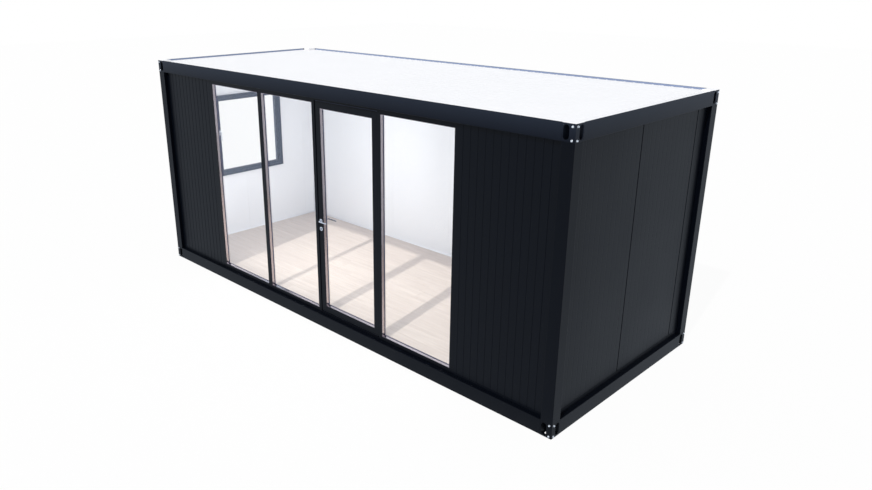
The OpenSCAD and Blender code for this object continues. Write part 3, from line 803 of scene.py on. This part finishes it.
def make_joint_seals():
    """Rubber seals in the open joints between the wall panels."""
    sunk, edge, end_joints, back_joints = 0.025, 0.002, 2, 5
    step = PANEL_W + PANEL_JOINT
    end_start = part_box("right_end_panels")[0].y + PANEL_W
    hole_low, hole_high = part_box("window_frame")
    whole = ((BEAM_TOP, WALL_TOP),)
    split = ((BEAM_TOP, hole_low.z), (hole_high.z, WALL_TOP))
    bm = bmesh.new()
    for k in range(end_joints):
        y0, y1 = end_start + k * step, end_start + k * step + PANEL_JOINT
        add_bar(bm, (SKIN_X - JOINT_DEPTH, y0, BEAM_TOP), (SKIN_X - sunk, y1, WALL_TOP), edge)
        for z0, z1 in split if hole_low.y < y0 < hole_high.y else whole:
            add_bar(bm, (-SKIN_X + sunk, y0, z0), (-SKIN_X + JOINT_DEPTH, y1, z1), edge)
    for k in range(back_joints):
        x1 = ROOM_X - PANEL_W - k * step
        low = (x1 - PANEL_JOINT, SKIN_Y - JOINT_DEPTH, BEAM_TOP)
        add_bar(bm, low, (x1, SKIN_Y - sunk, WALL_TOP), edge)
    make_piece(bm, "panel_seals", RUBBER, "cabin")


def make_roof_trim():
    """Screws with washers on the roof's ribs, covers on its end joints, flashings in the rim."""
    pitch, inset, ribs = 0.1, 0.055, 29
    on_sheet, on_strip, cover_t, cover_edge = 0.011, 0.019, 0.0015, 0.0006
    strip_t, strip_edge, gap, short_x, short_y = 0.0016, 0.0004, 0.0002, 0.013, 0.016
    washer = (
        (0.0, 0.0052),
        (0.0036, 0.005),
        (0.0042, 0.0016),
        (0.0075, 0.0012),
        (0.008, 0.0),
        (0.0, 0.0),
    )
    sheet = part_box("roof_sheet")[1]
    strip_low, strip_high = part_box("roof_end_strips")
    flat = strip_high.z
    foot, head = flat + 0.0005, FRAME_TOP - 0.001
    screws, covers, flashings = bmesh.new(), bmesh.new(), bmesh.new()
    for side in (-1, 1):
        for i in range(-ribs, ribs):
            place = ((i + 0.5) * pitch, side * (sheet.y - inset), RIB_TOP)
            add_turned(screws, washer, facing(place, (0, 0, 1)), steps=10)
        x0, x1 = ends(side, sheet.x - on_sheet, sheet.x + on_strip)
        add_bar(covers, (x0, strip_low.y, flat), (x1, strip_high.y, flat + cover_t), cover_edge)
        y0, y1 = ends(side, sheet.y + gap, sheet.y + gap + strip_t)
        low, high = (short_x - sheet.x, y0, foot), (sheet.x - short_x, y1, head)
        add_bar(flashings, low, high, strip_edge)
        x0, x1 = ends(side, strip_high.x + gap, strip_high.x + gap + strip_t)
        low, high = (x0, strip_low.y + short_y, foot), (x1, strip_high.y - short_y, head)
        add_bar(flashings, low, high, strip_edge)
    make_piece(screws, "roof_screws", ROOF_COAT, "cabin")
    make_piece(covers, "roof_covers", ROOF_COAT, "cabin")
    # The flashings' blue-grey finish is painted shade and a painted sky reflection
    make_piece(flashings, "rim_flashings", RIM_SKY_SHADE_COAT, "cabin")


# Glazing: liners and seals


def line_opening(liners, seals, span_x, span_z, frame_y, glass_y):
    """A bare liner in front of a pane and a seal behind it, each short of the frame's face."""
    liner_w, seal_w, lip = 0.0025, 0.004, 0.002
    (x0, x1), (z0, z1) = span_x, span_z
    size = (x1 - x0, z1 - z0)
    front, back = frame_y[0] + lip, frame_y[1] - lip
    add_ring(liners, (x0, glass_y[0], z0), TO_FRONT, size, liner_w, glass_y[0] - front)
    add_ring(seals, (x0, back, z0), TO_FRONT, size, seal_w, back - glass_y[1])


def make_light_liners():
    """Bare aluminium liners in front of the fixed panes, and grey seals behind them."""
    liners, seals = bmesh.new(), bmesh.new()
    for span_x in LIGHTS:
        line_opening(liners, seals, span_x, LIGHT_Z, GLAZE_Y, GLASS_Y)
    make_piece(liners, "light_liners", ALUMINIUM, "cabin")
    make_piece(seals, "light_seals", GREY_SEAL, "cabin")


def make_door_seals():
    """The door pane's liner and inner seal, and the seal round the leaf's edge."""
    reach, setback, depth = 0.003, 0.012, 0.008
    liner, seal = bmesh.new(), bmesh.new()
    line_opening(liner, seal, PANE_X, PANE_Z, (LEAF_LOW.y, LEAF_HIGH.y), PANE_Y)
    around = (LEAF_HIGH.x - LEAF_LOW.x + 2 * reach, LEAF_HIGH.z - LEAF_LOW.z + 2 * reach)
    start = (LEAF_LOW.x - reach, LEAF_LOW.y + setback, LEAF_LOW.z - reach)
    add_ring(seal, start, TO_FRONT, around, reach, depth)
    make_piece(liner, "door_liner", ALUMINIUM, "door")
    make_piece(seal, "door_seals", GREY_SEAL, "door")


# Door furniture


def set_on_leaf(part, y, z, side):
    """Sets a part on the lever's line, its Z pointing out of one side of the leaf."""
    turn = Matrix.Rotation(-side * math.pi / 2, 4, "X")
    place = Matrix.Translation((LEVER_X, y, z)) @ turn
    bmesh.ops.transform(part, matrix=place, verts=part.verts[:])


def make_roses():
    """Round roses on both faces of the leaf, for the lever and for the lock."""
    edge, shoulder, lip, neck_gap, plug_gap = 0.0022, 0.0007, 0.0008, 0.002, 0.0005
    low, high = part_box("door_roses")
    radius, thick = (high.x - low.x) / 2, LEAF_LOW.y - low.y
    plug_r = (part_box("lock_cylinder")[1].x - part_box("lock_cylinder")[0].x) / 2
    neck_r = (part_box("inner_lever")[1].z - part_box("inner_lever")[0].z) / 2
    bm = bmesh.new()
    for z, hole in ((LEVER_Z, neck_r + neck_gap), (LOCK_Z, plug_r + plug_gap)):
        profile = (
            (hole, 0.0),
            (radius, 0.0),
            (radius, thick - edge),
            (radius - shoulder, thick - lip),
            (radius - edge, thick),
            (hole + lip, thick),
            (hole, thick - lip),
        )
        for y, out in ((LEAF_LOW.y, -1), (LEAF_HIGH.y, 1)):
            add_turned(bm, profile, facing((LEVER_X, y, z), (0, out, 0)), steps=40, closed=True)
    piece = make_piece(bm, "turned_roses", CHROME, "door")
    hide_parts("door_roses")


def make_levers():
    """Levers bent from round bar, and the square spindle that joins them."""
    bend, root, half, spindle_edge = 0.014, 0.0005, 0.004, 0.0005
    # The inner lever's chrome is darkened as painted shade
    levers = (
        ("outer_lever", -1, LEAF_LOW.y, CHROME),
        ("inner_lever", 1, LEAF_HIGH.y, SHADED_CHROME),
    )
    for node, side, face_y, finish in levers:
        low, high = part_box(node)
        radius = (high.z - low.z) / 2
        reach = abs((low.y if side < 0 else high.y) - face_y) - radius
        arm = high.x - LEVER_X
        part = bmesh.new()
        start = Matrix.Translation((0.0, 0.0, root))
        bmesh.ops.create_circle(part, cap_ends=True, segments=20, radius=radius, matrix=start)
        part.faces.ensure_lookup_table()
        end = draw_out(part, part.faces[0], (0.0, 0.0, reach - bend - root))
        turned = bmesh.ops.spin(
            part,
            geom=[end, *end.edges, *end.verts],
            cent=(bend, 0.0, reach - bend),
            axis=(0.0, 1.0, 0.0),
            angle=math.pi / 2,
            steps=8,
            use_duplicate=False,
        )
        end = draw_out(part, face_of(turned["geom_last"]), (arm - bend, 0.0, 0.0))
        round_off(part, end.edges[:], 0.6 * radius, 4)
        bmesh.ops.recalc_face_normals(part, faces=part.faces[:])
        for face in part.faces:
            face.smooth = len(face.verts) == 4
        set_on_leaf(part, face_y, LEVER_Z, side)
        bm = bmesh.new()
        pour(bm, part)
        if node == "outer_lever":
            low = (LEVER_X - half, LEAF_LOW.y, LEVER_Z - half)
            high = (LEVER_X + half, LEAF_HIGH.y, LEVER_Z + half)
            add_bar(bm, low, high, spindle_edge)
        piece = make_piece(bm, node.replace("lever", "bent_lever"), finish, "lever")
        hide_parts(node)


def make_key_plugs():
    """Key plugs on both faces of the leaf, with their keyways."""
    keyway_half, keyway_d, root = (0.0009, 0.0042), 0.004, 0.004
    low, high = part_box("lock_cylinder")
    bm = bmesh.new()
    for y, face_y, side in ((low.y, LEAF_LOW.y, -1), (high.y, LEAF_HIGH.y, 1)):
        part = bmesh.new()
        bmesh.ops.create_circle(part, cap_ends=True, segments=32, radius=(high.x - low.x) / 2)
        for axis, half in enumerate(keyway_half):
            normal = Vector((1 - axis, axis, 0))
            for s in (-1, 1):
                bmesh.ops.bisect_plane(
                    part,
                    geom=part.verts[:] + part.edges[:] + part.faces[:],
                    plane_co=s * half * normal,
                    plane_no=normal,
                )
        rim = [e for e in part.edges if e.is_boundary]
        keyway = min(part.faces, key=lambda f: f.calc_center_median().length)
        skirt = verts_of(bmesh.ops.extrude_edge_only(part, edges=rim)["geom"])
        bmesh.ops.translate(part, verts=skirt, vec=(0.0, 0.0, -abs(y - face_y) - root))
        bmesh.ops.holes_fill(part, edges=[e for e in part.edges if e.is_boundary])
        draw_out(part, keyway, (0.0, 0.0, -keyway_d))
        bmesh.ops.recalc_face_normals(part, faces=part.faces[:])
        set_on_leaf(part, y, LOCK_Z, side)
        pour(bm, part)
    piece = make_piece(bm, "key_plugs", PLUG_METAL, "door")
    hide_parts("lock_cylinder")


def make_lock_plates():
    """The lock's face plate on the leaf's edge and the strike plate on the frame."""
    half_w, half_h, plate_t, plate_edge = 0.009, 0.125, 0.0015, 0.0005
    strike_w, strike_t, strike_edge = 0.004, 0.0012, 0.0003
    y, z = (LEAF_LOW.y + LEAF_HIGH.y) / 2, (LEVER_Z + LOCK_Z) / 2
    bm = bmesh.new()
    low = (LEAF_LOW.x - plate_t, y - half_w, z - half_h)
    add_bar(bm, low, (LEAF_LOW.x, y + half_w, z + half_h), plate_edge)
    make_piece(bm, "lock_face_plate", CHROME, "door")
    bm = bmesh.new()
    start = (MULLIONS[1][1], y - half_w, z - half_h / 2)
    add_ring(bm, start, TO_RIGHT, (2 * half_w, half_h), strike_w, strike_t, strike_edge)
    make_piece(bm, "strike_plate", CHROME, "cabin")


def make_hinge_caps():
    """Domed caps on the ends of the hinge barrels."""
    low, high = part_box("hinge_frame_halves")
    radius, half = 0.009, 0.060
    dome = (
        (0.0, 0.0036),
        (0.45 * radius, 0.0033),
        (0.8 * radius, 0.0022),
        (radius, 0.0006),
        (radius, 0.0),
        (0.0, 0.0),
    )
    bm = bmesh.new()
    for z in (low.z + half, (low.z + high.z) / 2, high.z - half):
        for s in (-1, 1):
            add_turned(bm, dome, facing((HINGE_X, HINGE_Y, z + s * half), (0, 0, s)))
    make_piece(bm, "hinge_caps", FRAME_PAINT, "cabin")


# The end window


def make_window_trim():
    """Glazing seals on both faces of the end window's pane."""
    pane_low, pane_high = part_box("window_glass")
    sash_low, sash_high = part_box("window_sash")
    face_w, bead_w, bead_d, edge = 0.033, 0.004, 0.005, 0.001
    size = (sash_high.y - sash_low.y - 2 * face_w, sash_high.z - sash_low.z - 2 * face_w)
    bm = bmesh.new()
    for x in (pane_low.x - bead_d, pane_high.x):
        start = (x, sash_low.y + face_w, sash_low.z + face_w)
        add_ring(bm, start, TO_RIGHT, size, bead_w, bead_d, edge)
    make_piece(bm, "window_seals", RUBBER, "cabin")


def make_window_handle():
    """The turning handle: a foot plate, a round neck and a grip with rounded edges."""
    low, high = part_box("window_handle")
    foot_t, foot_h, foot_edge = 0.012, 0.070, 0.004
    neck_r, grip_t, grip_edge = 0.010, 0.014, 0.0055
    y, pivot_z, neck_l = (low.y + high.y) / 2, high.z - foot_h / 2, high.x - low.x - grip_t / 2
    bm = bmesh.new()
    foot_low, foot_high = (low.x, low.y, high.z - foot_h), (low.x + foot_t, high.y, high.z)
    add_bar(bm, foot_low, foot_high, foot_edge, 4)
    neck = ((0.0, 0.0), (neck_r, 0.0), (neck_r, neck_l), (0.0, neck_l))
    add_turned(bm, neck, facing((low.x, y, pivot_z), (1, 0, 0)))
    grip_low = (high.x - grip_t, y - neck_r, low.z)
    add_bar(bm, grip_low, (high.x, y + neck_r, pivot_z + neck_r), grip_edge, 5)
    piece = make_piece(bm, "window_grip", CHROME, "cabin")
    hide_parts("window_handle")


# The room: floor, edge strip and beads


def make_floor_planks():
    """Laminate planks in staggered rows, with a fine bevel along every edge."""
    wide, long, shortest, seam, edge = 0.185, 1.285, 0.02, 0.0004, 0.0012
    low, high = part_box("floor_finish")
    draw = random.Random(7)
    bm = bmesh.new()
    tone = bm.faces.layers.float.new("plank")
    y = low.y
    while y < high.y - SAME:
        y1 = min(y + wide, high.y)
        x = low.x - draw.uniform(0.1, 0.9) * long
        while x < high.x - SAME:
            x1 = min(x + long, high.x)
            start = max(x, low.x)
            before = len(bm.faces)
            if x1 - start > shortest:
                add_bar(bm, (start + seam, y + seam, low.z), (x1 - seam, y1 - seam, high.z), edge)
            bm.faces.ensure_lookup_table()
            shade = draw.random()
            for face in bm.faces[before:]:
                face[tone] = shade
            x += long
        y = y1
    piece = make_piece(bm, "floor_planks", OAK, "cabin")
    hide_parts("floor_finish")


def make_floor_edge():
    """The edge strip between the floor and the glazed front."""
    strip_w, strip_t, strip_edge, filler_edge = 0.03, 0.0025, 0.001, 0.0005
    back = GLAZE_Y[1]
    floor_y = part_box("floor_finish")[0].y
    strip_high = (GLAZE_X1, back + strip_w, FLOOR_Z + strip_t)
    bm = bmesh.new()
    add_bar(bm, (GLAZE_X0, back, BEAM_TOP), (GLAZE_X1, floor_y, FLOOR_Z), filler_edge)
    add_bar(bm, (GLAZE_X0, back, FLOOR_Z), strip_high, strip_edge)
    make_piece(bm, "floor_edge_strip", ALUMINIUM, "cabin")


def make_wall_beads():
    """White beads along the foot of the walls, in the corners and under the ceiling."""
    size = 0.014
    radius = 0.9 * size
    bm = bmesh.new()

    def bead(low, high, corner):
        """A quarter-round bead between two corners, rounded on its edge nearest the room."""
        part = new_block(low, high)
        low, high = Vector(low), Vector(high)
        span = high - low
        run = max(range(3), key=lambda i: span[i])
        across = [i for i in range(3) if i != run]
        nearest = [high[i] if corner[i] > 0 else low[i] for i in range(3)]
        edges = [
            e
            for e in part.edges
            if all(abs(v.co[i] - nearest[i]) < SAME for v in e.verts for i in across)
        ]
        round_off(part, edges, radius, 5)
        for face in part.faces:
            face.smooth = len(face.verts) == 4
        pour(bm, part)

    for z, up in ((FLOOR_Z, 1), (CEILING_Z, -1)):
        z0, z1 = sorted((z, z + up * size))
        bead((-ROOM_X, ROOM_Y - size, z0), (ROOM_X, ROOM_Y, z1), (0, -1, up))
        for sx in (-1, 1):
            x0, x1 = ends(sx, ROOM_X, ROOM_X - size)
            bead((x0, -ROOM_Y, z0), (x1, ROOM_Y - size, z1), (-sx, 0, up))
            x0, x1 = ends(sx, GLAZE_X1, ROOM_X - size)
            bead((x0, -ROOM_Y, z0), (x1, -ROOM_Y + size, z1), (0, 1, up))
    for sx in (-1, 1):
        for sy in (-1, 1):
            x0, x1 = ends(sx, ROOM_X, ROOM_X - size)
            y0, y1 = ends(sy, ROOM_Y, ROOM_Y - size)
            bead((x0, y0, FLOOR_Z + size), (x1, y1, CEILING_Z - size), (-sx, -sy, 0))
    make_piece(bm, "wall_beads", LINING_COAT, "cabin")


# Stage


def white_to_eye(tree, share):
    """A mask of share for rays that show the background, and the background's colour.

    The colour is white, or a pale sky where it is mirrored.
    """
    path = add_node(tree, "ShaderNodeLightPath").outputs
    seen = calc(tree, "MAXIMUM", path["Is Camera Ray"], path["Is Glossy Ray"])
    seen = calc(tree, "MAXIMUM", seen, path["Is Transmission Ray"])
    mirrored = calc(tree, "SUBTRACT", path["Is Glossy Ray"], path["Is Transmission Ray"])
    mirrored = calc(tree, "MAXIMUM", mirrored, 0.0)
    return calc(tree, "MULTIPLY", seen, share), mix_colour(tree, mirrored, WHITE, PALE_SKY)


def make_stage():
    """A white floor that keeps a faint shadow, and a white world that lights evenly."""
    half, floor_share = 40.0, 0.95
    bm = bmesh.new()
    bmesh.ops.create_grid(bm, x_segments=1, y_segments=1, size=half)
    mesh = bpy.data.meshes.new("ground")
    bm.to_mesh(mesh)
    bm.free()
    ground = bpy.data.objects.new("ground", mesh)
    scene.collection.objects.link(ground)
    material, tree, _ = new_finish(
        "ground_white", Base_Color=(0.8, 0.8, 0.8, 1.0), Roughness=0.9, Specular_IOR_Level=0.0
    )
    share, colour = white_to_eye(tree, floor_share)
    glow = add_node(tree, "ShaderNodeEmission", {"Color": colour, "Strength": 1.0})
    blend_surface(tree, share, tree.nodes["Principled BSDF"], glow)
    mesh.materials.append(material)

    scene.world = bpy.data.worlds.new("studio")
    scene.world.use_nodes = True
    tree = scene.world.node_tree
    light = tree.nodes["Background"]
    light.inputs["Color"].default_value = (0.94, 0.97, 1.0, 1.0)
    light.inputs["Strength"].default_value = 0.57
    share, colour = white_to_eye(tree, 1.0)
    white = add_node(tree, "ShaderNodeBackground", {"Color": colour, "Strength": 1.0})
    blend_surface(tree, share, light, white, "World Output")


def make_lamps():
    """A soft sun from the front, slightly right, and three broad lights in the room.

    They shine down from its ceiling, from its front to the back wall, and towards its left end.
    """
    sun = bpy.data.lights.new("sun", "SUN")
    sun.energy, sun.angle, sun.color = 2.2, math.radians(1.0), (1.0, 0.98, 0.95)
    lamp = bpy.data.objects.new("sun", sun)
    lamp.rotation_euler = Vector((-0.195, 1.0, -1.123)).to_track_quat("-Z", "Y").to_euler()
    scene.collection.objects.link(lamp)

    def fill(name, size, power, place, turn):
        """A broad light in the room that isn't seen."""
        light = bpy.data.lights.new(name, "AREA")
        light.shape, light.size, light.size_y, light.energy = "RECTANGLE", *size, power
        light.color = (0.96, 0.98, 1.0)
        lamp = bpy.data.objects.new(name, light)
        lamp.location, lamp.rotation_euler = place, turn
        lamp.visible_camera = lamp.visible_glossy = lamp.visible_transmission = False
        scene.collection.objects.link(lamp)

    quarter = math.pi / 2
    fill("ceiling_light", (4.6, 0.7), 30.0, (0.5, -0.75, CEILING_Z - 0.02), (0.0, 0.0, 0.0))
    fill("front_light", (3.0, 1.2), 14.0, (-1.0, -ROOM_Y + 0.1, 1.2), (quarter, 0.0, 0.0))
    fill("end_light", (1.2, 1.4), 10.0, (-0.3, -0.5, 1.6), (0.0, quarter, 0.0))


def make_camera():
    """The photograph's view."""
    data = bpy.data.cameras.new("camera")
    data.sensor_width, data.lens = 36.0, 30.434
    data.shift_x, data.shift_y = 0.0420, -0.0077
    data.clip_end = 200.0
    camera = bpy.data.objects.new("camera", data)
    camera.location = (5.7562, -5.7067, 3.5666)
    camera.rotation_euler = (math.radians(70.518), 0.0, math.radians(45.027))
    scene.collection.objects.link(camera)
    scene.camera = camera


scene.view_settings.view_transform = "Standard"
make_camera()
make_stage()
make_lamps()
finish_frame()
ease_frame()
press_sheets()
make_corner_bolts()
make_foot_flashings()
make_joint_seals()
make_roof_trim()
make_light_liners()
make_door_seals()
make_roses()
make_levers()
make_key_plugs()
make_lock_plates()
make_hinge_caps()
make_window_trim()
make_window_handle()
make_floor_planks()
make_floor_edge()
make_wall_beads()
